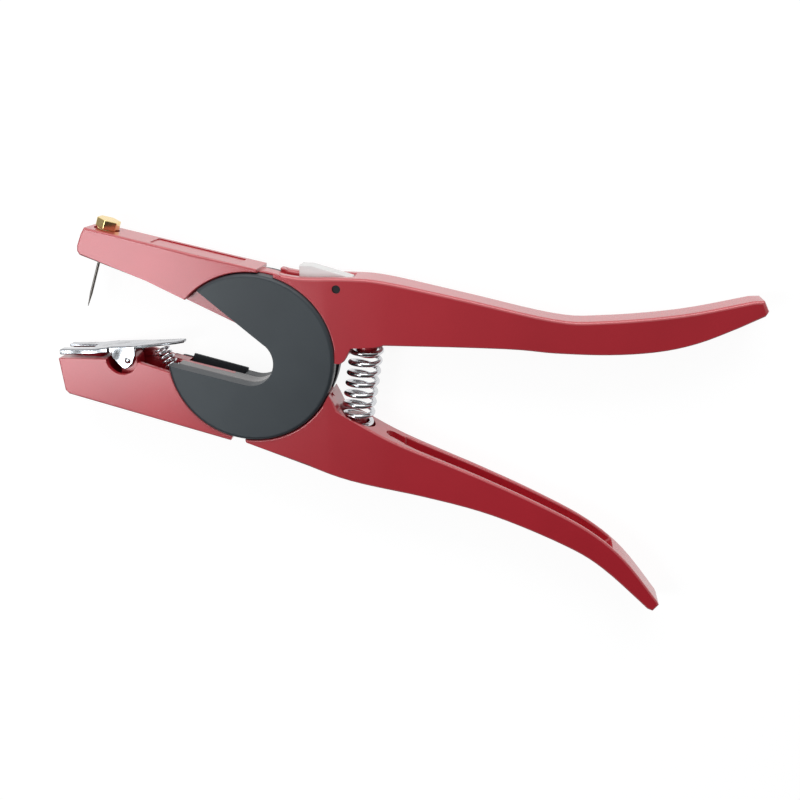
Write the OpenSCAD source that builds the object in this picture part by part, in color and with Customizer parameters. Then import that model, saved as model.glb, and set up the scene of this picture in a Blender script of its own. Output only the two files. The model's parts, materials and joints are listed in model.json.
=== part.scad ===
// Ear tag pliers with a deep throat. Two cast arms turn about the centre of a C-shaped ring:
// the lever arm (upper jaw, hub, lower handle) runs between two side covers that join the
// lower jaw to the upper handle. X runs from the jaws to the handles, Y across, Z is up.
// The tool lies flat, as on a bench, with the origin under the middle of its box.

/* [Ring] */
// Radius of the black side covers
ring_r = 30.5; // [29.5:0.1:31]
// Thickness over both side covers
ring_t = 18.8; // [17.6:0.2:20]
// Rounding of the covers' outer edge
cover_edge = 1.4; // [0.6:0.1:2]
// Thickness of the lever's hub between the plates
hub_t = 7; // [5:0.5:8]
// Outer radius of the lever's hub
hub_r = 24; // [22:0.5:25]
// Inner radius of the lever's hub, which turns on the throat liner
bore_r = 12; // [11.5:0.1:13]
// Radius of the round end of the throat
throat_r = 8.5; // [7.5:0.1:9]
// Angle that the lever turns from open to shut
close_angle = 20; // [12:1:20]
// Radius of the screws that hold the covers
cover_screw_r = 1.45; // [1:0.05:1.6]

/* [Jaws] */
// Reach of the lower jaw from the ring's centre
jaw_reach = 72.2; // [66:0.5:76]
// Thickness of the lower jaw
lower_jaw_t = 16.4; // [15.6:0.2:17.6]
// Thickness of the upper jaw at its tip
upper_jaw_tip_t = 15; // [13.6:0.2:16]
// Width of the clip channel in the lower jaw
clip_channel_w = 11.8; // [11:0.2:13]
// Width of the slot that takes the needle and the tag
tag_slot_w = 6.4; // [5:0.2:8]
// Depth of the sunk panel on the upper jaw
panel_depth = 0.7; // [0.4:0.1:1.2]
// Length of the sunk panel
panel_l = 33; // [24:1:40]
// Width of the sunk panel
panel_w = 10.4; // [8:0.2:12]

/* [Handles] */
// Thickness of both arms at the ring
arm_t = 16.4; // [15.6:0.2:17.4]
// Thickness of both handles at their ends
handle_end_t = 12; // [10.5:0.5:15]
// Reach of the upper handle from the ring's centre
upper_reach = 178.4; // [168:1:190]
// Reach of the lower handle along X from the ring's centre
lower_reach = 149.6; // [142:1:160]
// Width of the channel inside the handles
handle_channel_w = 8.4; // [6:0.2:8.6]
// Wall between a handle's channel and its outer edge
handle_wall = 3.6; // [2.4:0.2:5]

/* [Springs] */
// Outer diameter of the return spring
spring_d = 12.4; // [11:0.2:13]
// Wire of the return spring
spring_wire = 1.9; // [1.4:0.1:2.1]
// Turns of the return spring
spring_turns = 8; // [5:1:8]
// Outer diameter of the clip spring
clip_spring_d = 6; // [4.8:0.2:6.2]
// Wire of the clip spring
clip_spring_wire = 0.75; // [0.4:0.05:0.8]
// Turns of the clip spring
clip_spring_turns = 5; // [4:1:6]
// Outer diameter of the catch spring
catch_spring_d = 3.6; // [3:0.1:4]
// Wire of the catch spring
catch_spring_wire = 0.4; // [0.3:0.05:0.45]
// Turns of the catch spring
catch_spring_turns = 3; // [2:1:3]

/* [Clip] */
// Thickness of the clip's sheet
clip_sheet = 1; // [0.8:0.1:1.2]
// Width over the clip's prongs
clip_w = 12.8; // [12:0.2:14]
// Depth of the clip's side flanges
clip_flange = 1.4; // [1:0.1:1.6]
// Gap between the clip's prongs
clip_gap = 5.2; // [4:0.2:6]
// Radius of the clip's pivot pin
clip_pin_r = 1.2; // [0.8:0.1:1.5]

/* [Needle] */
// Radius of the needle
needle_r = 0.5; // [0.4:0.05:0.8]
// Length of the needle from its seat to its tip
needle_l = 28.5; // [25:0.5:31]
// Radius of the screw that clamps the needle
needle_screw_r = 2.45; // [2:0.05:3]
// Width across the flats of the screw's head
needle_head_w = 7.4; // [6.5:0.1:8]
// Height of the screw's head
needle_head_h = 3.4; // [2.5:0.1:4]

/* [Catch] */
// Radius of the catch's pin
catch_pin_r = 1.5; // [1:0.1:1.8]
// Thickness of the catch
catch_t = 6.8; // [5:0.2:7]
// Angle that the catch turns when it is pressed
catch_angle = 8; // [4:1:8]

/* [Fits] */
// Gap between an arm and the ring that it slides round
slide_gap = 0.4; // [0.3:0.05:0.6]
// Radial clearance of a turning fit
turn_gap = 0.05; // [0.03:0.01:0.1]
// Clearance between flat faces that slide
face_gap = 0.15; // [0.1:0.05:0.3]

/* [Hidden] */
$fn = 96;

// Half thicknesses and layers, counted from the middle plane
arm_half = arm_t / 2;
hub_half = hub_t / 2;
cover_in = hub_half + face_gap;
cover_out = ring_t / 2;
tongue_half = cover_in - turn_gap;
slide_r = ring_r + slide_gap;
seat_r = ring_r + turn_gap;
tongue_r = hub_r + turn_gap;
liner_r = bore_r - turn_gap;
far = 80;

// Angles round the ring at which the arms' inner parts begin and end
open_stop = 2;
lever_tail = 36.5;
lever_jaw_start = 86;
lever_jaw_end = 145;
lever_foot_start = -95;
lever_hub_start = -98;
lever_foot_end = -25;
handle_tongue_start = lever_foot_end + close_angle + 3;
handle_tongue_end = lever_tail - open_stop;
jaw_tongue_start = 188;
jaw_tongue_end = 360 + lever_hub_start - 3;
jaw_root_start = 197;
jaw_root_end = 250;
tail_r = slide_r + 0.3;
catch_slot_half = catch_t / 2 + 0.4;

// Throat: a round end with two edges that run out to the left
throat_c = [0, -1.4];
throat_up = 51;
throat_down = 257.4;

// Screws, inserts and dowels that join the covers to the tongues
screw_ring_r = (tongue_r + ring_r) / 2;
screw_angles = [handle_tongue_start + 6.5, handle_tongue_end - 6, 208, 243];
screw_head_r = cover_screw_r * 1.9;
screw_head_h = 1.6;
insert_wall = 0.8;
insert_l = 3.4;
insert_r = cover_screw_r + turn_gap + insert_wall;
screw_end = cover_in + insert_l;
dowel_r = 1.5;
dowel_in_cover = 3;
jaw_dowel_r = 21;
jaw_dowel_angle = 226;
handle_dowel_angle = (handle_tongue_start + handle_tongue_end) / 2;
dowel_places = [screw_ring_r * dir(handle_dowel_angle), jaw_dowel_r * dir(jaw_dowel_angle)];
liner_pin_r = 1.2;
liner_pin_angles = [5, 45];
liner_pin_end = (cover_in + cover_out) / 2;

// Upper jaw outline
jaw_top_end = [3.4, 32];
jaw_top_tip = [-58.6, 45.6];
jaw_nose = [[-60, 43.3], [-61.7, 39.1], [-61.8, 37.2], [-61, 35.8], [-36.9, 27.1]];
jaw_heel = [-22.9, 20.5];
jaw_top_angle = atan2(jaw_top_tip[1] - jaw_top_end[1], jaw_top_tip[0] - jaw_top_end[0]);
panel_start = 7;
jaw_root_rise = 0.8;
web_edge = [-3.3, 10.5];
web_edge_angle = -25;

// Needle, from its seat in the upper jaw towards the lower jaw
needle_seat = [-53.4, 43.1];
needle_angle = 251.4;
needle_recess_r = 4.5;
needle_recess_up = 8;
washer_r = 3.4;
washer_t = 1.6;
needle_bore = 6.2;
needle_flange_t = 2;
needle_root = 10.2;
needle_shank_r = needle_r + 0.6;
needle_point = 5;

// Lower jaw outline
jaw_lip = [-54.3, -2];
jaw_front_low = [-70.6, -14.2];
jaw_keel = [-8.6, -31.4];
jaw_rear_rim = [-29.8, -6.3];
notch_c = [-48, -1.6];
notch_r = 6;
channel_floor = -12;
channel_rear = -33;
tag_slot_rear = -56.5;
tag_slot_front = -68;
tag_slot_floor = -11.5;
lip_t = 1.6;
lip_start = 0.5;
lip_l = 27;
lip_back = -1.3;
web_drop = lip_t + 0.3;
rib_drop = 0.05;
rib_tilt = 0.4;
rebate_depth = 4;
rebate_start = 3.7;
rebate_skin = 1.05;
fence_end = 25;
fence_rise = 0.95;
fence_tilt = 1;
nose_start = fence_end + 0.2;
nose_end = 32;
nose_drop = 0.2;
far_cheek = [[-41.2, -3.4], [-41.2, -0.4], [-33.6, -2.65], [-30, -3.6], [-30, -9], [-36, -9]];

// Clip: pivot, and the line of its sheet from the prongs to the tail
clip_pivot = [-46.8, -2.9];
clip_line = [[-jaw_reach, 0.2], [-60, 0.6], [-52.7, 1.6], [-43.5, 2.1], [-35.5, 2.9], [-29.7, 3.5],
    [-26.4, 3.9]];
clip_fork_end = -60.5;
clip_ear_w = 11;
clip_ear_t = 1.2;
clip_shoulder = jaw_lip[0] + 0.5;
clip_flange_end = -44.5;
clip_plan = [[-jaw_reach - 1, clip_w / 2], [clip_shoulder, clip_w / 2], [clip_shoulder, clip_ear_w / 2],
    [clip_flange_end, clip_ear_w / 2], [-36, 3.7], [-29, 2.8], [-26, 1.4]];
clip_ear = [[-52.8, 1.4], [-43.9, 2], [-43.9, -1.2], [-44.9, -3.9], [-46.4, -5.5], [-48, -6.3],
    [-49, -6], [-52.9, -1.9]];
clip_lug_half = clip_ear_w / 2 - clip_ear_t - 0.3;
clip_lug_r = 3;

// Springs: seats and directions
spring_top = [41.4, 5.2];
spring_foot = [36.8, -26.8];
spring_line = spring_top - spring_foot;
spring_angle = atan2(spring_line[1], spring_line[0]);
spring_pocket_r = spring_d / 2 + 0.7;
spring_peg_r = spring_d / 2 - spring_wire - 0.6;
spring_peg_h = 5;
clip_spring_top = [-35.7, 1.1];
clip_spring_foot = [-31.3, -7.2];
clip_spring_line = clip_spring_top - clip_spring_foot;
clip_spring_angle = atan2(clip_spring_line[1], clip_spring_line[0]);
clip_pocket_r = clip_spring_d / 2 + 0.5;

// Catch: pin and outline; its tooth stands over the lever's tail
catch_pin_at = [ring_r + 1, 25.6];
catch_spring_foot = [catch_pin_at[0] - 5.2, 20.6];
catch_spring_top = [catch_pin_at[0] - 5.2, 25.5];
catch_tooth = [catch_pin_at[0] - 13.9, 26.2];
catch_tooth_w = 2.6;
catch_travel = (catch_pin_at[0] - catch_tooth[0]) * sin(catch_angle);
catch_top = 33.2;
catch_hub_r = 3.2;
catch_rear = catch_pin_at[0] + 4.9;
catch_slot_front = 5;

// Handle outlines, as curves through a few points
upper_tip = [9.15, 30.9];
upper_top = [upper_tip, [19, 29.4], [35, 29.5], [48, 28.6], [75, 23.2], [107, 16.5],
    [124, 16.2], [150, 19.1], [upper_reach - 5.3, 24.2]];
upper_end = [[upper_reach - 1.7, 24.4], [upper_reach, 20.9], [upper_reach - 1.2, 19]];
upper_under = [[upper_reach - 9.3, 14.9], [156.4, 9.3], [143.4, 5.9], [127, 4.3], [108, 4.4], [90.6, 5.5],
    [48, 5.8]];
upper_lobe = [[46.3, 5.2], [36.4, 4.6], [35.2, 1.8], [34.1, -0.1], [32.7, -1.2], [30.4, -1]];
lower_tip = [-3.2, -30.8];
lower_under = [[-2.8, -31.9], [17.3, -39.1], [35.7, -45.4], [63.2, -50.9], [88, -57.2], [114.2, -67.7],
    [128.5, -76.2], [lower_reach - 4.1, -91.4]];
lower_end = [[lower_reach - 2.1, -92.2], [lower_reach, -89.6]];
lower_top = [[lower_reach - 0.6, -88.3], [136, -72.1], [122.6, -61.3], [104.8, -52], [82.9, -42.4],
    [54.8, -31.2], [40.3, -23.9]];
lower_lobe = [[34.2, -21.1], [31.3, -18.6], [29.9, -15.7], [28.2, -12.9]];
handle_end_half = handle_end_t / 2;
taper_start = catch_pin_at[0] - 2.4 * catch_pin_r;
handle_taper = [[-10, arm_half], [taper_start, arm_half], [48, arm_half - 0.4],
    [72, handle_end_half + 0.4 * (arm_half - handle_end_half)], [105, handle_end_half + 0.3],
    [lower_reach - 14, handle_end_half], [upper_reach + 2, handle_end_half - 0.4]];
grip_slot_front = 48;
grip_slot_w = 6;
grip_channel_front = 55;

// The box of the tool, whose lower middle is the origin
box_front = -jaw_reach;
box_top = needle_seat[1] + (washer_t + needle_head_h) * sin(needle_angle - 180)
    + needle_head_w / 2 * cos(needle_angle - 180);
box_low = lower_end[0][1];
home = [-(box_front + upper_reach) / 2, -(box_top + box_low) / 2, cover_out];

paint_red = [0.64, 0.11, 0.15];
cover_black = [0.2, 0.22, 0.24];
steel = [0.78, 0.79, 0.8];
brass = [0.83, 0.66, 0.3];

// Points and curves
function dir(a) = [cos(a), sin(a)];
function at(p, i) = p[max(0, min(len(p) - 1, i))];
function between(a, b, c, d, t) =
    0.5 * (2 * b + (c - a) * t + (2 * a - 5 * b + 4 * c - d) * t * t + (3 * b - a - 3 * c + d) * t * t * t);
function smooth(p, n = 5) = concat(
    [for (i = [0 : len(p) - 2], k = [0 : n - 1]) between(at(p, i - 1), p[i], p[i + 1], at(p, i + 2), k / n)],
    [p[len(p) - 1]]);

// Coil along +Z from a seat at z = 0 to a seat at z = l. Both wire ends stand square on their seats.
function coil_path(r, wire, l, turns) = let (
    turn_in = wire / r * 180 / PI,
    low = 2 * wire,
    rise = l - 4 * wire,
    steps = 8 * turns)
    concat(
        [[0, 0], [0, wire]],
        [for (a = [30, 60]) [turn_in * (1 - cos(a)), wire + wire * sin(a)]],
        [for (i = [0 : steps]) [turn_in + 360 * i / 8, low + rise * i / steps]],
        [for (a = [30, 60]) [turn_in + 360 * turns + turn_in * sin(a), l - low + wire * (1 - cos(a))]],
        [for (h = [wire, 0]) [2 * turn_in + 360 * turns, l - h]]);
function on_coil(r, p) = [r * cos(p[0]), r * sin(p[0]), p[1]];
function unit(v) = v / norm(v);
function coil_ring(points, i, wire, sides = 6) = let (
    along = unit(at(points, i + 1) - at(points, i - 1)),
    out_raw = [points[i][0], points[i][1], 0],
    out = unit(out_raw - (out_raw * along) * along),
    side = cross(along, out))
    [for (k = [0 : sides - 1]) let (a = 360 * k / sides)
        points[i] + wire / 2 * (cos(a) * out + sin(a) * side)];
function coil_gap(points, wire) = min([for (i = [0 : len(points) - 7], j = [i + 6 : len(points) - 1])
    norm(points[i] - points[j])]) - wire;

module coil(name, d, wire, l, turns, sides = 6) {
    points = [for (p = coil_path((d - wire) / 2, wire, l, turns)) on_coil((d - wire) / 2, p)];
    n = len(points);
    echo(str(name, " least gap to itself"), coil_gap(points, wire));
    polyhedron(
        points = concat([for (i = [0 : n - 1]) each coil_ring(points, i, wire, sides)],
            [points[0], points[n - 1]]),
        faces = concat(
            [for (i = [0 : n - 2], k = [0 : sides - 1])
                let (a = i * sides + k, b = i * sides + (k + 1) % sides)
                each [[a, a + sides, b], [b, a + sides, b + sides]]],
            [for (k = [0 : sides - 1]) [k, (k + 1) % sides, n * sides]],
            [for (k = [0 : sides - 1])
                [(n - 1) * sides + (k + 1) % sides, (n - 1) * sides + k, n * sides + 1]]));
}

// Places
module placed() { translate(home) children(); }
module layer(half) { translate([0, 0, -half]) linear_extrude(2 * half) children(); }
module between_z(low, high) { translate([0, 0, low]) linear_extrude(high - low) children(); }
module on_axis(p, a) { translate([p[0], p[1], 0]) rotate([0, 0, a]) rotate([0, 90, 0]) children(); }
module through(p, r, half) { translate([p[0], p[1], -half]) cylinder(r = r, h = 2 * half); }

module wedge(a0, a1) {
    steps = ceil((a1 - a0) / 45);
    polygon(concat([[0, 0]], [for (i = [0 : steps]) far * dir(a0 + (a1 - a0) * i / steps)]));
}

module sector(r0, r1, a0, a1) {
    intersection() {
        difference() {
            circle(r = r1);
            circle(r = r0);
        }
        wedge(a0, a1);
    }
}

// Solid between two half-thickness lines: stations are [x, half thickness]
module thinned(stations) {
    intersection() {
        layer(arm_half + 1) children();
        rotate([90, 0, 0]) linear_extrude(4 * far, center = true)
            polygon(concat(stations,
                [for (i = [len(stations) - 1 : -1 : 0]) [stations[i][0], -stations[i][1]]]));
    }
}

module throat_shape() {
    up = throat_c + throat_r * dir(throat_up);
    down = throat_c + throat_r * dir(throat_down);
    translate(throat_c) circle(r = throat_r);
    polygon([up, up + far * dir(throat_up + 90), down + far * dir(throat_down - 90), down]);
}

// Everything below the throat's lower edge by a given drop, tilted about the edge's inner end
module below_throat(drop, tilt) {
    edge = throat_c + (throat_r + drop) * dir(throat_down);
    translate(edge) rotate(throat_down - 270 + tilt) translate([-far, -far]) square([2 * far, far]);
}

// Strip under the throat's lower edge, from one distance along the edge to another
module floor_strip(start, end, top, depth) {
    edge = throat_c + throat_r * dir(throat_down);
    translate(edge) rotate(throat_down - 270) translate([-end, -depth]) square([end - start, depth - top]);
}

// Castings that the side covers join: lower jaw and upper handle
module lower_jaw_outline() {
    polygon([[-jaw_reach, -2.1], jaw_lip, [-41.2, -3], jaw_rear_rim, [-20, -10], [-6, -26], jaw_keel,
        jaw_front_low + [1.4, -1.4], jaw_front_low]);
}

module lower_jaw() color(paint_red) placed() {
    half = lower_jaw_t / 2;
    difference() {
        union() {
            difference() {
                layer(half) lower_jaw_outline();
                through([0, 0], seat_r, arm_half);
                between_z(-clip_channel_w / 2, clip_channel_w / 2)
                    polygon([[jaw_lip[0], far], [jaw_lip[0], channel_floor], [channel_rear, channel_floor],
                        [channel_rear, -8], [-25, -8], [-25, far]]);
                between_z(0, arm_half) translate(notch_c) circle(r = notch_r);
            }
            between_z(-half, -clip_channel_w / 2) difference() {
                polygon(far_cheek);
                circle(r = seat_r);
            }
            layer(tongue_half) intersection() {
                union() {
                    sector(bore_r + 2 * turn_gap, ring_r, jaw_tongue_start, jaw_tongue_end);
                    sector(ring_r - 1, ring_r + 3, jaw_root_start, jaw_root_end);
                }
                below_throat(web_drop, 0);
            }
            between_z(-tongue_half, lip_back - 0.2) intersection() {
                sector(bore_r + 2 * turn_gap, ring_r, jaw_tongue_start, jaw_tongue_end);
                below_throat(rib_drop, rib_tilt);
            }
            between_z(-cover_out + rebate_skin + turn_gap, -tongue_half + 0.5)
                floor_strip(nose_start, nose_end, nose_drop, rebate_depth - turn_gap);
            layer(clip_lug_half) {
                translate(clip_pivot) circle(r = clip_lug_r);
                translate([clip_pivot[0] - clip_lug_r, channel_floor - 1])
                    square([2 * clip_lug_r, clip_pivot[1] - channel_floor + 1]);
            }
        }
        layer(tag_slot_w / 2) polygon([[tag_slot_front, tag_slot_floor], [tag_slot_rear, tag_slot_floor],
            [tag_slot_rear, 5], [tag_slot_front, 5]]);
        on_axis(clip_spring_foot, clip_spring_angle) cylinder(r = clip_pocket_r, h = 30);
        through(clip_pivot, clip_pin_r, arm_half);
        for (i = [2, 3]) through(screw_ring_r * dir(screw_angles[i]), cover_screw_r + turn_gap, arm_half);
        through(dowel_places[1], dowel_r, arm_half);
    }
}

module upper_handle_outline() {
    polygon(concat(smooth(upper_top), upper_end, smooth(upper_under), upper_lobe,
        [[20, 5], [upper_tip[0], 22]]));
}

module catch_slot() {
    layer(catch_slot_half) {
        sector(hub_r, tail_r + 0.4, handle_tongue_end, 110);
        polygon([catch_spring_foot - [2.1, 0], [catch_rear + 0.8, catch_spring_foot[1]],
            [catch_rear + 0.8, far], [catch_slot_front, far], [catch_slot_front, ring_r + 0.5]]);
    }
}

module upper_handle_channel() {
    ceiling = [for (p = smooth([for (i = [3 : 7]) upper_top[i]])) if (p[0] > 56) p - [0, handle_wall + 1]];
    layer(handle_channel_w / 2)
        polygon(concat([[56, -20]], ceiling, [[ceiling[len(ceiling) - 1][0], -20]]));
}

module upper_handle() color(paint_red) placed() {
    difference() {
        union() {
            difference() {
                thinned(handle_taper) upper_handle_outline();
                through([0, 0], seat_r, arm_half + 1);
                upper_handle_channel();
                on_axis(spring_top, spring_angle + 180) cylinder(r = spring_pocket_r, h = 14);
            }
            layer(tongue_half) {
                sector(tongue_r, ring_r, handle_tongue_start, handle_tongue_end);
                sector(ring_r - 1, ring_r + 2, handle_tongue_start + 2, handle_tongue_end);
            }
            on_axis(spring_top, spring_angle + 180) translate([0, 0, -1])
                cylinder(r = spring_peg_r, h = spring_peg_h + 1);
        }
        catch_slot();
        through(catch_pin_at, catch_pin_r, arm_half + 1);
        for (i = [0, 1]) through(screw_ring_r * dir(screw_angles[i]), cover_screw_r + turn_gap, arm_half);
        through(dowel_places[0], dowel_r, arm_half);
    }
}

// Covers: round discs with the throat cut out, their outer edge rounded
module cover_disc() {
    t = cover_out - cover_in;
    rotate_extrude() {
        square([ring_r - cover_edge, t]);
        square([ring_r, t - cover_edge]);
        translate([ring_r - cover_edge, t - cover_edge]) intersection() {
            circle(r = cover_edge);
            square(cover_edge);
        }
    }
}

module cover_blank() {
    difference() {
        cover_disc();
        translate([0, 0, -1]) linear_extrude(ring_t) throat_shape();
        for (a = liner_pin_angles) through(liner_place(a), liner_pin_r, liner_pin_end - cover_in + turn_gap);
        for (p = dowel_places) through(p, dowel_r, dowel_in_cover + turn_gap);
    }
}

module near_cover() color(cover_black) placed() translate([0, 0, cover_in]) difference() {
    cover_blank();
    for (a = screw_angles) through(screw_ring_r * dir(a), insert_r + turn_gap, insert_l + turn_gap);
}

module far_cover() color(cover_black) placed() difference() {
    union() {
        mirror([0, 0, 1]) translate([0, 0, cover_in]) cover_blank();
        between_z(-cover_out, -cover_out + rebate_skin) intersection() {
            circle(r = ring_r - cover_edge);
            below_throat(-fence_rise, -fence_tilt);
            floor_strip(rebate_start, fence_end, -4, 0.5);
        }
    }
    for (a = screw_angles) {
        through(screw_ring_r * dir(a), cover_screw_r + turn_gap, ring_t);
        screw_head(a, turn_gap);
    }
    between_z(-cover_out + rebate_skin, -cover_in + 1) floor_strip(rebate_start, far, -4, rebate_depth);
}

module screw_head(a, gap) {
    translate([screw_ring_r * cos(a), screw_ring_r * sin(a), -cover_out - gap])
        cylinder(r1 = screw_head_r + gap, r2 = cover_screw_r + gap, h = screw_head_h + gap);
}

module cover_screws() color(steel) placed() for (a = screw_angles) difference() {
    union() {
        screw_head(a, 0);
        translate([screw_ring_r * cos(a), screw_ring_r * sin(a), -cover_out])
            cylinder(r = cover_screw_r, h = cover_out + screw_end);
    }
    translate([screw_ring_r * cos(a), screw_ring_r * sin(a), -cover_out - 1])
        cylinder(r = cover_screw_r * 0.75, h = 2, $fn = 6);
}

module cover_inserts() color(brass) placed() for (a = screw_angles)
    translate([screw_ring_r * cos(a), screw_ring_r * sin(a), cover_in]) difference() {
        cylinder(r = insert_r, h = insert_l);
        translate([0, 0, -1]) cylinder(r = cover_screw_r + turn_gap, h = insert_l + 2);
    }

module cover_dowels() color(steel) placed()
    for (p = dowel_places) through(p, dowel_r, cover_in + dowel_in_cover);

function liner_place(a) = (throat_r + bore_r - 0.6) / 2 * dir(a);

// Liner: a bush round the throat's end that the hub turns on, with a lip along the throat's floor
module throat_liner() color(cover_black) placed() difference() {
    union() {
        layer(cover_in) circle(r = liner_r);
        between_z(lip_back, cover_in) floor_strip(lip_start, lip_l, -1, lip_t);
    }
    layer(ring_t) throat_shape();
    for (a = liner_pin_angles) through(liner_place(a), liner_pin_r, ring_t);
}

module liner_pins() color(steel) placed()
    for (a = liner_pin_angles) through(liner_place(a), liner_pin_r, liner_pin_end);

// Lever: upper jaw, hub and lower handle in one casting
module upper_jaw_outline() {
    polygon(concat([jaw_top_end, jaw_top_tip], jaw_nose, [jaw_heel, [-16, 20], [jaw_top_end[0] - 0.3, 24]]));
}

module jaw_panel() {
    translate([jaw_top_end[0], jaw_top_end[1], -panel_w / 2]) rotate([0, 0, jaw_top_angle])
        translate([panel_start, -1, 0]) cube([panel_l, panel_depth + 1, panel_w]);
}

module lower_handle_outline() {
    polygon(concat([[-1, -26], lower_tip], smooth(lower_under), lower_end, smooth(lower_top), lower_lobe,
        [[20, -10], [8, -22]]));
}

module lower_handle_channel() {
    floor_line = [for (p = smooth([for (i = [3 : 6]) lower_under[i]])) if (p[0] > 66 && p[0] < 128)
        p + [1.4, handle_wall + 0.6]];
    layer(handle_channel_w / 2) polygon(concat(
        [[grip_channel_front, -20], [grip_channel_front, -38]], floor_line, [[140, -62], [130, -20]]));
    translate([grip_slot_front + grip_slot_w / 2, -36, 0]) {
        rotate([-90, 0, 0]) cylinder(r = grip_slot_w / 2, h = 20);
        layer(grip_slot_w / 2) square([8, 20]);
    }
}

module hub_web() {
    difference() {
        union() {
            circle_part(lever_hub_start, lever_jaw_end, hub_r);
            circle_part(lever_tail, lever_jaw_end, tail_r);
            circle_part(lever_jaw_start, 138, slide_r + jaw_root_rise);
            circle_part(lever_foot_start, lever_foot_end, slide_r + 1);
        }
        circle(r = bore_r);
        translate(web_edge) rotate(web_edge_angle) translate([-far, -far]) square([far, far]);
        catch_notch();
    }
}

module circle_part(a0, a1, r) { sector(bore_r - 1, r, a0, a1); }

module catch_notch() {
    translate([catch_tooth[0] - 0.7, catch_tooth[1] - catch_travel - 1]) square([catch_tooth_w + 1.6, far]);
}

module jaw_lever() color(paint_red) placed() difference() {
    union() {
        difference() {
            thinned([[-jaw_reach, upper_jaw_tip_t / 2], [-40, upper_jaw_tip_t / 2 + 0.2],
                [-20, arm_half - 0.4], [10, arm_half - 0.4]]) upper_jaw_outline();
            through([0, 0], slide_r, arm_half + 1);
        }
        difference() {
            thinned(handle_taper) lower_handle_outline();
            through([0, 0], slide_r, arm_half + 1);
            lower_handle_channel();
            on_axis(spring_foot, spring_angle) cylinder(r = spring_pocket_r, h = 14);
        }
        on_axis(spring_foot, spring_angle) translate([0, 0, -1])
            cylinder(r = spring_peg_r, h = spring_peg_h + 1);
        layer(hub_half) hub_web();
    }
    jaw_panel();
    on_axis(needle_seat, needle_angle) {
        translate([0, 0, -needle_recess_up]) cylinder(r = needle_recess_r, h = needle_recess_up);
        translate([0, 0, -1]) cylinder(r = needle_screw_r + turn_gap, h = needle_bore + 1);
        cylinder(r = needle_shank_r + turn_gap, h = needle_bore + 8);
    }
}

// Needle and the brass screw that clamps its head
module needle() color(steel) placed() on_axis(needle_seat, needle_angle) {
    translate([0, 0, needle_bore - needle_flange_t]) cylinder(r = needle_screw_r, h = needle_flange_t);
    translate([0, 0, needle_bore - 0.5])
        cylinder(r = needle_shank_r, h = needle_root - needle_bore + 0.5);
    translate([0, 0, needle_root - 0.5])
        cylinder(r = needle_r, h = needle_l - needle_point - needle_root + 0.5);
    translate([0, 0, needle_l - needle_point]) cylinder(r1 = needle_r, r2 = 0.12, h = needle_point);
}

module needle_screw() color(brass) placed() on_axis(needle_seat, needle_angle) {
    translate([0, 0, -washer_t - needle_head_h])
        cylinder(r = needle_head_w / 2 / cos(30), h = needle_head_h, $fn = 6);
    translate([0, 0, -washer_t - 0.5])
        cylinder(r = needle_screw_r, h = washer_t + 0.5 + needle_bore - needle_flange_t);
}

module needle_washer() color(brass) placed() on_axis(needle_seat, needle_angle)
    translate([0, 0, -washer_t]) difference() {
        cylinder(r = washer_r, h = washer_t);
        translate([0, 0, -1]) cylinder(r = needle_screw_r + turn_gap, h = washer_t + 2);
    }

// Clip: a bent sheet with a fork at the front, side flanges and two ears that hang on the pin
module clip_sheet_outline(depth) {
    polygon(concat([for (p = clip_line) p + [0, clip_sheet / 2]],
        [for (i = [len(clip_line) - 1 : -1 : 0]) clip_line[i] - [0, depth]]));
}

module both_sides(inner, outer) {
    between_z(inner, outer) children();
    between_z(-outer, -inner) children();
}

module clip_front() { translate([-far, -far]) square([far + clip_shoulder, 2 * far]); }
module clip_rear() {
    translate([clip_shoulder - 0.01, -far]) square([clip_flange_end - clip_shoulder, 2 * far]);
}

module tag_clip() color(steel) placed() difference() {
    union() {
        thinned(clip_plan) clip_sheet_outline(clip_sheet / 2);
        both_sides(clip_w / 2 - clip_sheet, clip_w / 2) intersection() {
            clip_sheet_outline(clip_flange);
            clip_front();
        }
        both_sides(clip_ear_w / 2 - clip_ear_t, clip_ear_w / 2) {
            intersection() {
                clip_sheet_outline(clip_flange);
                clip_rear();
            }
            polygon(clip_ear);
        }
    }
    layer(clip_gap / 2) translate([-jaw_reach - 1, -5]) square([clip_fork_end + jaw_reach + 1, 10]);
    through(clip_pivot, clip_pin_r + turn_gap, arm_half);
}

module clip_pin() color(steel) placed() through(clip_pivot, clip_pin_r, clip_channel_w / 2 - 0.1);

module clip_spring() color(steel) placed() on_axis(clip_spring_foot, clip_spring_angle)
    coil("clip spring", clip_spring_d, clip_spring_wire, norm(clip_spring_line), clip_spring_turns);

module return_spring() color(steel) placed() on_axis(spring_foot, spring_angle)
    coil("return spring", spring_d, spring_wire, norm(spring_line), spring_turns);

// Catch: a white rocker whose tooth holds the lever open or shut
module catch_outline() {
    polygon([catch_tooth, [catch_tooth[0], catch_top], [catch_tooth[0] + 4.4, catch_top - 0.1],
        [catch_rear, 29], [catch_rear, catch_spring_top[1] - 0.5],
        [catch_pin_at[0] - 2, catch_spring_top[1] - 0.5], [catch_pin_at[0] - 2, catch_spring_top[1]],
        [catch_spring_top[0] - 2.4, catch_spring_top[1]], [catch_spring_top[0] - 2.8, catch_tooth[1] + 1.6],
        [catch_tooth[0] + catch_tooth_w, catch_tooth[1] + 1.6], catch_tooth + [catch_tooth_w, 0]]);
}

module lock_catch() color("whitesmoke") placed() difference() {
    union() {
        layer(catch_t / 2) catch_outline();
        through(catch_pin_at, catch_hub_r, catch_t / 2);
    }
    through(catch_pin_at, catch_pin_r + turn_gap, arm_half);
}

module catch_pin() color([0.1, 0.1, 0.1]) placed() through(catch_pin_at, catch_pin_r, arm_half - 0.5);

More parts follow.
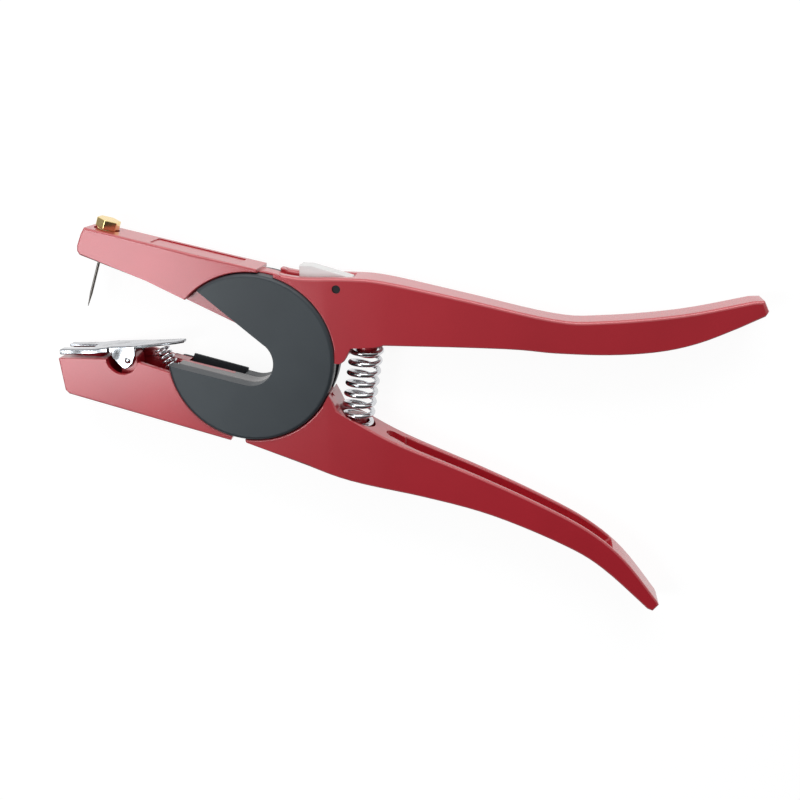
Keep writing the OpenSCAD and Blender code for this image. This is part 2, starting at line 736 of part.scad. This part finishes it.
module catch_spring() color(steel) placed() on_axis(catch_spring_foot, 90)
    coil("catch spring", catch_spring_d, catch_spring_wire, norm(catch_spring_top - catch_spring_foot),
        catch_spring_turns);

lower_jaw();
upper_handle();
near_cover();
far_cover();
throat_liner();
liner_pins();
cover_dowels();
cover_screws();
cover_inserts();
clip_pin();
catch_pin();
jaw_lever();
needle();
needle_screw();
needle_washer();
tag_clip();
clip_spring();
return_spring();
lock_catch();
catch_spring();
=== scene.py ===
import json
import math

import bmesh
import bpy
from mathutils import Matrix, Vector


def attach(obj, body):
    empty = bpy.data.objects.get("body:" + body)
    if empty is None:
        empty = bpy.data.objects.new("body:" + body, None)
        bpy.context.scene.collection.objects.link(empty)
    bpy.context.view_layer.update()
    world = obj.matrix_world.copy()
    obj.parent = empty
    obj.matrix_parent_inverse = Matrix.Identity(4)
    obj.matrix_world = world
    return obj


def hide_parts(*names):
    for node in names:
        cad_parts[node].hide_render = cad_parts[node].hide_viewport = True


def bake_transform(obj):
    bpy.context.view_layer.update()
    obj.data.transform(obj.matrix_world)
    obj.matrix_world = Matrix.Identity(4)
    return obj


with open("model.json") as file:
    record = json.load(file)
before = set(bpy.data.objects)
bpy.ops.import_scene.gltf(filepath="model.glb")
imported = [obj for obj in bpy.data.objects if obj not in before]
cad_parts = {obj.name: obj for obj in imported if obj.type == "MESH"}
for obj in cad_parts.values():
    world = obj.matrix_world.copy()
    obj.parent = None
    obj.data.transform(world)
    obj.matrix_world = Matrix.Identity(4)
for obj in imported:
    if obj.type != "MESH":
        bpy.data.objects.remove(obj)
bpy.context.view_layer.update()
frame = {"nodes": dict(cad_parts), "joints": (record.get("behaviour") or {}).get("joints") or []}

# Far cover: the first half of the C-shaped ring, a black satin moulding that lies on the bench while the
# tool is put together. Its rim is rounded, and the throat is cut out of it. The moulding's fine grain and
# its faint flow marks are in the finish.
small_edge = dict(radius=0.00025, segments=2)
grain_depth = 0.00003
weld_distance = 2e-6


class Wire:
    """A socket in one material's nodes. A sum or a product of it adds a Math node."""

    def __init__(self, tree, socket=None):
        self.tree = tree
        self.socket = socket

    def node(self, kind, settings=None, sockets=None, out=0):
        """Adds a node with these settings, and with these values or wires on its sockets."""
        made = self.tree.nodes.new("ShaderNode" + kind)
        for name, value in (settings or {}).items():
            setattr(made, name, value)
        for name, value in (sockets or {}).items():
            if isinstance(value, Wire):
                self.tree.links.new(value.socket, made.inputs[name])
            else:
                made.inputs[name].default_value = value
        return Wire(self.tree, made.outputs[out] if made.outputs else None)

    def maths(self, operation, first, second):
        return self.node("Math", {"operation": operation}, {0: first, 1: second})

    def __add__(self, other):
        return self.maths("ADD", self, other)

    def __radd__(self, other):
        return self.maths("ADD", other, self)

    def __mul__(self, other):
        return self.maths("MULTIPLY", self, other)

    def __rmul__(self, other):
        return self.maths("MULTIPLY", other, self)

    def colours(self, low, high):
        """Runs from one colour to the other as this value goes from 0 to 1."""
        factor, first_colour, second_colour, colour_out = 0, 6, 7, 2
        return self.node("Mix", {"data_type": "RGBA"}, {factor: self, first_colour: low, second_colour: high},
                         out=colour_out)

    def held(self, low, high):
        """This value's run from low to high, as 0 to 1, and held there."""
        return self.node("MapRange", {"clamp": True}, {"Value": self, "From Min": low, "From Max": high})


def rgb(red, green, blue):
    """An opaque colour for a socket."""
    return (red, green, blue, 1.0)


def grain(wire, per_metre, detail=2.0):
    """A noise that is fixed to the piece, from 0 to 1."""
    place = wire.node("TexCoord", out="Object")
    return wire.node("TexNoise", {"noise_dimensions": "3D"},
                     {"Vector": place, "Scale": per_metre, "Detail": detail})


def bumped(wire, height, strength, depth):
    """A normal that shows these heights as relief."""
    return wire.node("Bump", None, {"Height": height, "Strength": strength, "Distance": depth})


def surfaced(name):
    """A new, empty material, and a Wire on its nodes."""
    material = bpy.data.materials.new(name)
    material.use_nodes = True
    tree = material.node_tree
    tree.nodes.clear()
    return material, Wire(tree)


def closed(wire, sockets):
    """Ends a material's nodes in a Principled shader with these sockets."""
    shader = wire.node("BsdfPrincipled", None, sockets)
    wire.node("OutputMaterial", None, {"Surface": shader})


def room_beside(edge):
    """How far the two faces at an edge reach before they meet another of their edges."""
    middle = (edge.verts[0].co + edge.verts[1].co) / 2
    least = math.inf
    for face in edge.link_faces:
        for other in face.edges:
            if not set(other.verts) & set(edge.verts):
                start = other.verts[0].co
                run = other.verts[1].co - start
                share = max(0, min(1, (middle - start).dot(run) / run.length_squared))
                least = min(least, (middle - start - run * share).length)
    return least


def anywhere(edge):
    """True for every edge."""
    return True


def round_over(bm, radius, segments, chosen=anywhere):
    """Rounds the sharp edges that the test picks, where the faces beside them have the room for it."""
    sharp = math.radians(35)
    least_room = 2.1 * radius
    least_end = 1.3 * radius
    passes = 6
    round_profile = 0.5
    rounded = bm.faces.layers.float.get("rounded") or bm.faces.layers.float.new("rounded")
    picked = {e for e in bm.edges if len(e.link_faces) == 2 and e.calc_face_angle() > sharp
              and chosen(e) and room_beside(e) > least_room}
    for _ in range(passes):
        tight = {v for e in picked for v in e.verts
                 if any(other not in picked and other.calc_length() < least_end for other in v.link_edges)}
        picked = {e for e in picked if not tight & set(e.verts)}
    made = bmesh.ops.bevel(bm, geom=list(picked), offset=radius, offset_type="OFFSET", segments=segments,
                           profile=round_profile, affect="EDGES", clamp_overlap=False)
    for face in made["faces"]:
        face[rounded] = 1
    bmesh.ops.dissolve_degenerate(bm, dist=weld_distance, edges=bm.edges)


def shown(name, bm):
    """Puts a finished mesh in the scene, its flat faces shaded flat up to their roundings."""
    large_faces_lead = 100
    mesh = bpy.data.meshes.new(name)
    bm.to_mesh(mesh)
    bm.free()
    piece = bpy.data.objects.new(name, mesh)
    bpy.context.scene.collection.objects.link(piece)
    even = piece.modifiers.new("even_shading", "WEIGHTED_NORMAL")
    even.keep_sharp = True
    even.weight = large_faces_lead
    return piece


def from_node(name, node, *roundings, touch_up=None):
    """A piece with a node's shape, its flat faces joined up and its sharp edges rounded in turn."""
    flat = math.radians(0.4)
    crease = math.radians(32)
    bm = bmesh.new()
    bm.from_mesh(frame["nodes"][node].data)
    bmesh.ops.remove_doubles(bm, verts=bm.verts, dist=weld_distance)
    bmesh.ops.dissolve_limit(bm, angle_limit=flat, verts=bm.verts, edges=bm.edges)
    if touch_up:
        touch_up(bm)
    for rounding in roundings:
        round_over(bm, **rounding)
    for face in bm.faces:
        face.smooth = True
    for edge in bm.edges:
        edge.smooth = len(edge.link_faces) == 2 and edge.calc_face_angle() < crease
    return shown(name, bm)


def coated(piece, material):
    """Gives a piece or a node this finish and no other."""
    piece.data.materials.clear()
    piece.data.materials.append(material)


def fixed(piece, body, node, material):
    """Gives a piece its finish and its body, and hides the node that it stands for."""
    coated(piece, material)
    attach(piece, body)
    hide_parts(node)


cover_finish, wire = surfaced("black_moulding")
fine = grain(wire, per_metre=5200, detail=3.0)
cloud = grain(wire, per_metre=38)
closed(wire, {
    "Base Color": cloud.held(0.3, 0.7).colours(rgb(0.031, 0.039, 0.046), rgb(0.042, 0.052, 0.060)),
    "Roughness": 0.40 + 0.10 * fine,
    "Normal": bumped(wire, fine, strength=0.25, depth=grain_depth),
})
far_shell = from_node("far_cover_shell", "far_cover", small_edge)
fixed(far_shell, "frame", "far_cover", cover_finish)


# Throat liner: a dark moulded bush round the throat's end. The lever's hub turns on it, and its lip closes
# the near half of the throat's floor. Two steel pins keep it between the covers.
liner_finish, wire = surfaced("smooth_moulding")
fine = grain(wire, per_metre=5200, detail=3.0)
closed(wire, {
    "Base Color": fine.colours(rgb(0.150, 0.144, 0.145), rgb(0.180, 0.173, 0.174)),
    "Roughness": 0.22 + 0.08 * fine,
    "IOR": 1.6,
    "Normal": bumped(wire, fine, strength=0.1, depth=grain_depth),
})
throat_bush = from_node("throat_bush", "throat_liner", small_edge)
fixed(throat_bush, "frame", "throat_liner", liner_finish)

steel_finish, wire = surfaced("plain_steel")
drawn = grain(wire, per_metre=2600)
closed(wire, {
    "Base Color": drawn.colours(rgb(0.42, 0.41, 0.40), rgb(0.58, 0.57, 0.56)),
    "Metallic": 1.0,
    "Roughness": 0.26 + 0.14 * drawn,
})
coated(frame["nodes"]["liner_pins"], steel_finish)


# Lower jaw: a light alloy casting in satin metallic red paint, with a channel for the clip along its top
# and a round notch in its near cheek. Its tongue drops between the covers, and a steel dowel carries the
# load there, as another does for the upper handle.
rim_reach = 0.0303
limb_reach = 0.0322
rim_slope = 0.3
side_slope = 0.9


def joint_at(name):
    """Where a joint's axis crosses the tool's middle plane."""
    return next(Vector(joint["pos_m"]) for joint in frame["joints"] if joint["name"] == name)


ring_centre = joint_at("squeeze")


def ring_point(x_mm, y_mm):
    """A point in the tool's middle plane, given in millimetres from the ring's centre."""
    return ring_centre + Vector((x_mm, y_mm, 0)) / 1000


def reach_to(edge, place):
    """How far an edge's nearer end lies from a place, seen square to the tool's side."""
    return min((v.co - place).xy.length for v in edge.verts)


def clear_of_ring(edge):
    """True for edges that don't lie inside the covers' rim."""
    return reach_to(edge, ring_centre) > rim_reach


def on_outline(edge):
    """True for edges between a casting's broad side and its rim, outside the covers."""
    slopes = sorted(abs(f.normal.z) for f in edge.link_faces)
    return slopes[0] < rim_slope and slopes[1] > side_slope and clear_of_ring(edge)


def on_limb(edge):
    """True for those edges of a jaw or a handle that lie well away from the covers."""
    return on_outline(edge) and reach_to(edge, ring_centre) > limb_reach


def far_cheek_forward(bm):
    """Carries the far cheek's raised rim forward, to where it closes the view behind the clip's ear."""
    rim_front = ring_point(-41.2, -0.4)
    rim_foot = ring_point(-41.2, -3.0)
    new_front = ring_point(-47.5, -0.6)
    new_foot = ring_point(-47.5, -2.519)
    cheek_offset = 0.003
    same_place = 0.00005
    least_run = 0.002
    split_share = 0.02
    far_side = [v for v in bm.verts if v.co.z < ring_centre.z - cheek_offset]
    fronts = [v for v in far_side if (v.co - rim_front).xy.length < same_place]
    feet = [v for v in far_side if (v.co - rim_foot).xy.length < same_place]
    bends = []
    for front in fronts:
        along = [e for e in front.link_edges
                 if e.other_vert(front).co.x > front.co.x + least_run
                 and e.other_vert(front).co.y < front.co.y]
        bend = bmesh.utils.edge_split(along[0], front, split_share)[1]
        bend.co = front.co
        front.co.xy = new_front.xy
        bends.append(bend)
    for foot in feet:
        foot.co.xy = new_foot.xy
    bmesh.ops.connect_verts(bm, verts=bends)


def edge_mask(wire):
    """1 on the roundings that round_over made, 0 elsewhere."""
    return wire.node("Attribute", {"attribute_name": "rounded"}, out="Fac")


paint_finish, wire = surfaced("red_paint")
flake = grain(wire, per_metre=6500)
peel = grain(wire, per_metre=900)
cloud = grain(wire, per_metre=30)
# The roundings are painted a paler pink: a painted highlight along the casting's edges.
painted_edge_highlight = edge_mask(wire)
speckle = (0.55 * flake + 0.45 * cloud).held(0.34, 0.66)
flat_red = speckle.colours(rgb(0.430, 0.011, 0.022), rgb(0.540, 0.017, 0.032))
closed(wire, {
    "Base Color": (0.22 * painted_edge_highlight).colours(flat_red, rgb(0.72, 0.30, 0.31)),
    "Metallic": 0.10,
    "Roughness": 0.36 + 0.08 * flake,
    "Coat Weight": 0.9,
    "Coat Roughness": 0.20,
    "Normal": bumped(wire, 0.5 * flake + 0.5 * peel, strength=0.22, depth=0.00004),
})
jaw_rounding = dict(radius=0.0007, segments=4, chosen=on_limb)
arc_rounding = dict(radius=0.0005, segments=3, chosen=on_outline)
cast_edge = dict(small_edge, chosen=clear_of_ring)
jaw_casting = from_node("lower_jaw_casting", "lower_jaw", jaw_rounding, arc_rounding, cast_edge,
                        touch_up=far_cheek_forward)
fixed(jaw_casting, "frame", "lower_jaw", paint_finish)
coated(frame["nodes"]["cover_dowels"], steel_finish)


# Upper handle: the same casting alloy and paint, hollow underneath, with a slot at its front for the catch
# and a round pocket for the return spring. Its tongue is screwed between the covers.
back_slope = 0.3


def on_back(edge):
    """True for the edges along the handle's back, where the casting is full."""
    return on_limb(edge) and max(f.normal.y for f in edge.link_faces) > back_slope


handle_rounding = dict(radius=0.0011, segments=5, chosen=on_back)
handle_casting = from_node("upper_handle_casting", "upper_handle", handle_rounding, arc_rounding, cast_edge)
fixed(handle_casting, "frame", "upper_handle", paint_finish)


# Lever: the upper jaw, the hub and the lower handle in one painted casting. The hub slides round the liner
# between the covers, and the jaw's top has a sunk bare panel.
panel_middle = ring_point(-19.705, 36.351)
panel_rise = 0.00035
level_slope = 0.8
channel_end = ring_point(131.8, -68.0)
channel_end_room = 0.004


def panel_floor_up(bm):
    """Lifts the floor of the sunk panel, so that its far wall shows as a thin line."""
    level = [f for f in bm.faces if f.normal.y > level_slope]
    floor = min(level, key=lambda f: (f.calc_center_bounds() - panel_middle).length)
    rise = floor.normal * panel_rise
    for vert in floor.verts:
        vert.co += rise


def short_of_channel_end(edge):
    """True for the casting's small edges, but not where the lower handle's channel ends."""
    return clear_of_ring(edge) and reach_to(edge, channel_end) > channel_end_room


lever_edge = dict(small_edge, chosen=short_of_channel_end)
lever_casting = from_node("lever_casting", "jaw_lever", jaw_rounding, arc_rounding, lever_edge,
                          touch_up=panel_floor_up)
fixed(lever_casting, "lever", "jaw_lever", paint_finish)


# Near cover: the other half of the ring, the same black moulding, plain on the side that shows. Four
# countersunk steel screws come through from the far side into brass inserts that are pressed into its back.
near_shell = from_node("near_cover_shell", "near_cover", small_edge)
fixed(near_shell, "frame", "near_cover", cover_finish)

brass_finish, wire = surfaced("turned_brass")
turned = grain(wire, per_metre=3000)
closed(wire, {
    "Base Color": turned.colours(rgb(0.86, 0.62, 0.23), rgb(0.96, 0.78, 0.40)),
    "Metallic": 1.0,
    "Roughness": 0.18 + 0.12 * turned,
})
coated(frame["nodes"]["cover_inserts"], brass_finish)
coated(frame["nodes"]["cover_screws"], steel_finish)


# Needle: a thin ground steel pin with a head that seats in the upper jaw. A brass screw with a hexagon head
# and a brass collar clamps it from above.
collar_edge = dict(radius=0.0002, segments=2)
hexagon_edge = dict(radius=0.0003, segments=3)
needle_finish, wire = surfaced("ground_steel")
ground = grain(wire, per_metre=3800)
closed(wire, {
    "Base Color": ground.colours(rgb(0.17, 0.15, 0.135), rgb(0.22, 0.20, 0.18)),
    "Metallic": 1.0,
    "Roughness": 0.34 + 0.06 * ground,
})
needle_pin = from_node("needle_pin", "needle")
fixed(needle_pin, "lever", "needle", needle_finish)
needle_collar = from_node("needle_collar", "needle_washer", collar_edge)
fixed(needle_collar, "lever", "needle_washer", brass_finish)
needle_hexagon = from_node("needle_hexagon", "needle_screw", hexagon_edge)
fixed(needle_hexagon, "lever", "needle_screw", brass_finish)


# Tag clip: a bright plated sheet bent into a fork with side flanges and two ears, which hang on a pin
# across the lower jaw. A small coil under its tail pushes the fork down.
sheet_corner = dict(radius=0.0004, segments=5)
sheet_edge = dict(radius=0.0002, segments=3)
clip_foot = ring_point(-31.3, -7.2)
clip_top = ring_point(-35.7, 1.1)


def ring_of(bm, middle, first, second, radius, sides):
    """Points in a circle round a middle, in the plane of two directions that are square to each other."""
    angles = (2 * math.pi * k / sides for k in range(sides))
    return [bm.verts.new(middle + (first * math.cos(a) + second * math.sin(a)) * radius) for a in angles]


def skinned(bm, rings):
    """Joins each circle of points to the next with faces."""
    for low, high in zip(rings, rings[1:]):
        for k in range(len(low)):
            after = (k + 1) % len(low)
            bm.faces.new((low[k], low[after], high[after], high[k]))


def crowned_pin(name, middle, half, radius, crown, sides=36, rows=6):
    """A round pin across the tool, its ends crowned like a rivet's."""
    right = Vector((1, 0, 0))
    up = Vector((0, 1, 0))
    across = Vector((0, 0, 1))
    end = [(radius * math.cos(a), half - crown + crown * math.sin(a))
           for a in (math.pi / 2 * k / rows for k in range(rows))]
    bm = bmesh.new()
    rings = [ring_of(bm, middle + across * height, right, up, reach, sides)
             for reach, height in [(r, -h) for r, h in reversed(end)] + end]
    skinned(bm, rings)
    low_tip = bm.verts.new(middle - across * half)
    high_tip = bm.verts.new(middle + across * half)
    for k in range(sides):
        after = (k + 1) % sides
        bm.faces.new((rings[0][after], rings[0][k], low_tip))
        bm.faces.new((rings[-1][k], rings[-1][after], high_tip))
    for face in bm.faces:
        face.smooth = True
    return shown(name, bm)


def coil(name, foot, top, outside, thick, turns, sides=12, steps=40):
    """A wire wound from one seat to the other, its end turns closed up against the seats."""
    shut_turns = 0.75
    shut_pitch = 0.35
    along = (top - foot).normalized()
    across = Vector((0, 0, -1))
    side = Vector((-along.y, along.x, 0))
    length = (top - foot).length
    radius = (outside - thick) / 2
    count = int(turns * steps)
    rise = []
    for i in range(count + 1):
        turns_from_end = min(i, count - i) / count * turns
        opened = min(1, turns_from_end / shut_turns) ** 2
        rise.append(shut_pitch + (1 - shut_pitch) * opened)
    total = sum(rise[1:])
    height = thick / 2
    path = []
    for i in range(count + 1):
        if i:
            height += (length - thick) * rise[i] / total
        angle = 2 * math.pi * turns * i / count
        outward = across * math.cos(angle) + side * math.sin(angle)
        path.append(foot + along * height + outward * radius)
    bm = bmesh.new()
    rings = []
    for i, point in enumerate(path):
        ahead = (path[min(i + 1, count)] - path[max(i - 1, 0)]).normalized()
        spoke = point - foot
        spoke -= along * spoke.dot(along)
        spoke = (spoke - ahead * spoke.dot(ahead)).normalized()
        rings.append(ring_of(bm, point, spoke, ahead.cross(spoke), thick / 2, sides))
    skinned(bm, rings)
    bm.faces.new(rings[0][::-1])
    bm.faces.new(rings[-1])
    bmesh.ops.recalc_face_normals(bm, faces=bm.faces)
    for face in bm.faces:
        face.smooth = len(face.verts) == 4
    return shown(name, bm)


def sprung(piece, node, material):
    """Gives a spring its finish, bakes its place into its mesh and hides the node that it stands for."""
    coated(piece, material)
    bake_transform(piece)
    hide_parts(node)


sheet_finish, wire = surfaced("bright_sheet")
ripple = grain(wire, per_metre=700)
wave = grain(wire, per_metre=150, detail=0.0)
plating = ripple.colours(rgb(0.50, 0.51, 0.53), rgb(0.64, 0.65, 0.67))
# The sheet's roundings are painted dark grey: painted shade along its edges and bends.
closed(wire, {
    "Base Color": (0.75 * edge_mask(wire)).colours(plating, rgb(0.10, 0.10, 0.11)),
    "Metallic": 1.0,
    "Roughness": 0.20 + 0.10 * ripple,
    "Normal": bumped(wire, wave, strength=0.8, depth=0.0016),
})
clip_sheet = from_node("tag_clip_sheet", "tag_clip", sheet_corner, sheet_edge)
fixed(clip_sheet, "clip", "tag_clip", sheet_finish)

chrome_finish, wire = surfaced("bright_plate")
ripple = grain(wire, per_metre=700)
wave = grain(wire, per_metre=120, detail=0.0)
closed(wire, {
    "Base Color": ripple.colours(rgb(0.60, 0.61, 0.63), rgb(0.74, 0.75, 0.77)),
    "Metallic": 1.0,
    "Roughness": 0.08 + 0.10 * ripple,
    "Normal": bumped(wire, wave, strength=0.7, depth=0.0012),
})
clip_rivet = crowned_pin("clip_rivet", joint_at("clip_turn"), half=0.0058, radius=0.0012, crown=0.0006)
fixed(clip_rivet, "frame", "clip_pin", chrome_finish)
clip_coil = coil("clip_coil", clip_foot, clip_top, outside=0.006, thick=0.00075, turns=5.5)
sprung(clip_coil, "clip_spring", chrome_finish)


# Lock catch: a white moulded rocker in the slot at the front of the upper handle. It turns on a blackened
# pin across the handle, and a small steel coil lifts it.
catch_edge = dict(radius=0.0004, segments=3)
catch_foot = ring_point(26.3, 20.6)
catch_top = ring_point(26.3, 25.5)
white_finish, wire = surfaced("white_moulding")
fine = grain(wire, per_metre=4000)
closed(wire, {
    "Base Color": fine.colours(rgb(0.74, 0.74, 0.73), rgb(0.82, 0.82, 0.81)),
    "Roughness": 0.38 + 0.10 * fine,
    "Normal": bumped(wire, fine, strength=0.15, depth=grain_depth),
})
catch_rocker = from_node("catch_rocker", "lock_catch", catch_edge)
fixed(catch_rocker, "catch", "lock_catch", white_finish)

black_finish, wire = surfaced("blackened_pin")
fine = grain(wire, per_metre=4000)
closed(wire, {
    "Base Color": fine.colours(rgb(0.012, 0.012, 0.013), rgb(0.028, 0.028, 0.030)),
    "Metallic": 0.6,
    "Roughness": 0.42 + 0.12 * fine,
})
coated(frame["nodes"]["catch_pin"], black_finish)

catch_coil = coil("catch_coil", catch_foot, catch_top, outside=0.0036, thick=0.0004, turns=3)
sprung(catch_coil, "catch_spring", steel_finish)


# Return spring: a bright plated wire, wound to a coil of a little over eight turns. Each end sits over a peg
# in a round pocket, one in each handle, and the coil opens the tool when the handles are let go.
spring_top = ring_point(41.4, 5.2)
spring_foot = ring_point(36.8, -26.8)
return_coil = coil("return_coil", spring_foot, spring_top, outside=0.0124, thick=0.0019, turns=8.4,
                   sides=16, steps=48)
sprung(return_coil, "return_spring", chrome_finish)


# Floor, light and camera: a pale bench that runs to white, a small soft light above and to the left, a wide
# one beyond the upper jaw and handle, and a room that is paler on that side. The camera looks down on the
# tool's near side.
floor_reach = 15.0
floor_drop = 0.0004
corners = [(-floor_reach, -floor_reach, 0), (floor_reach, -floor_reach, 0),
           (floor_reach, floor_reach, 0), (-floor_reach, floor_reach, 0)]
floor_mesh = bpy.data.meshes.new("floor")
floor_mesh.from_pydata(corners, [], [(0, 1, 2, 3)])
floor = bpy.data.objects.new("floor", floor_mesh)
bpy.context.scene.collection.objects.link(floor)
floor.location.z = -floor_drop
floor_finish, wire = surfaced("pale_floor")
seen = wire.node("LightPath", out="Is Camera Ray")
shiny = wire.node("LightPath", out="Is Glossy Ray")
clear = wire.node("LightPath", out="Is Transmission Ray")
lit = wire.node("BsdfDiffuse", None, {"Color": rgb(0.8, 0.8, 0.8)})
soft = wire.node("BsdfDiffuse", None, {"Color": rgb(0.14, 0.14, 0.14)})
glow = wire.node("Emission", None, {"Color": rgb(1, 1, 1), "Strength": 0.92})
pale = wire.node("AddShader", None, {0: soft, 1: glow})
either = wire.node("MixShader", None, {0: (seen + shiny + clear).held(0, 1), 1: lit, 2: pale})
wire.node("OutputMaterial", None, {"Surface": either})
coated(floor, floor_finish)

sky = bpy.data.worlds.new("studio")
bpy.context.scene.world = sky
sky.use_nodes = True
sky.node_tree.nodes.clear()
wire = Wire(sky.node_tree)
seen = wire.node("LightPath", out="Is Camera Ray")
clear = wire.node("LightPath", out="Is Transmission Ray")
outward = wire.node("TexCoord", out="Generated")
along_y = wire.node("SeparateXYZ", None, {0: outward}, out="Y")
room = along_y.held(-0.4, 0.8).colours(rgb(0.03, 0.03, 0.03), rgb(0.66, 0.66, 0.66))
around = wire.node("Background", None, {"Color": room})
white = wire.node("Background", None, {"Color": rgb(1, 1, 1)})
either = wire.node("MixShader", None, {0: (seen + clear).held(0, 1), 1: around, 2: white})
wire.node("OutputWorld", None, {"Surface": either})


def softbox(name, place, aim, width, height, power, tint):
    """A rectangular lamp that faces the point it is aimed at."""
    lamp = bpy.data.lights.new(name, "AREA")
    lamp.shape = "RECTANGLE"
    lamp.size = width
    lamp.size_y = height
    lamp.energy = power
    lamp.color = tint
    stand = bpy.data.objects.new(name, lamp)
    stand.location = place
    stand.rotation_euler = (Vector(aim) - Vector(place)).to_track_quat("-Z", "Y").to_euler()
    bpy.context.scene.collection.objects.link(stand)


softbox("left_softbox", place=(-0.39, -0.05, 0.62), aim=(-0.10, 0.03, 0), width=0.26, height=0.29, power=1.75,
        tint=(0.92, 0.97, 1.0))
softbox("top_softbox", place=(0.05, 0.75, 0.42), aim=(0, 0.02, 0), width=0.8, height=0.35, power=3.5,
        tint=(1.0, 1.0, 1.0))

camera = bpy.data.cameras.new("camera")
camera.lens = 47.25
camera.sensor_width = 36
camera.clip_start = 0.01
camera.clip_end = 60
eye = bpy.data.objects.new("camera", camera)
eye_place = (0.04387, 0.11333, 0.37309)
eye_right = (0.99277, 0, -0.12005)
eye_up = (-0.03388, 0.95937, -0.28013)
eye_back = (0.11518, 0.28217, 0.95243)
eye_turn = Matrix((eye_right, eye_up, eye_back)).transposed().to_4x4()
eye.matrix_world = Matrix.Translation(eye_place) @ eye_turn
bpy.context.scene.collection.objects.link(eye)
bpy.context.scene.camera = eye
bpy.context.scene.view_settings.view_transform = "Standard"
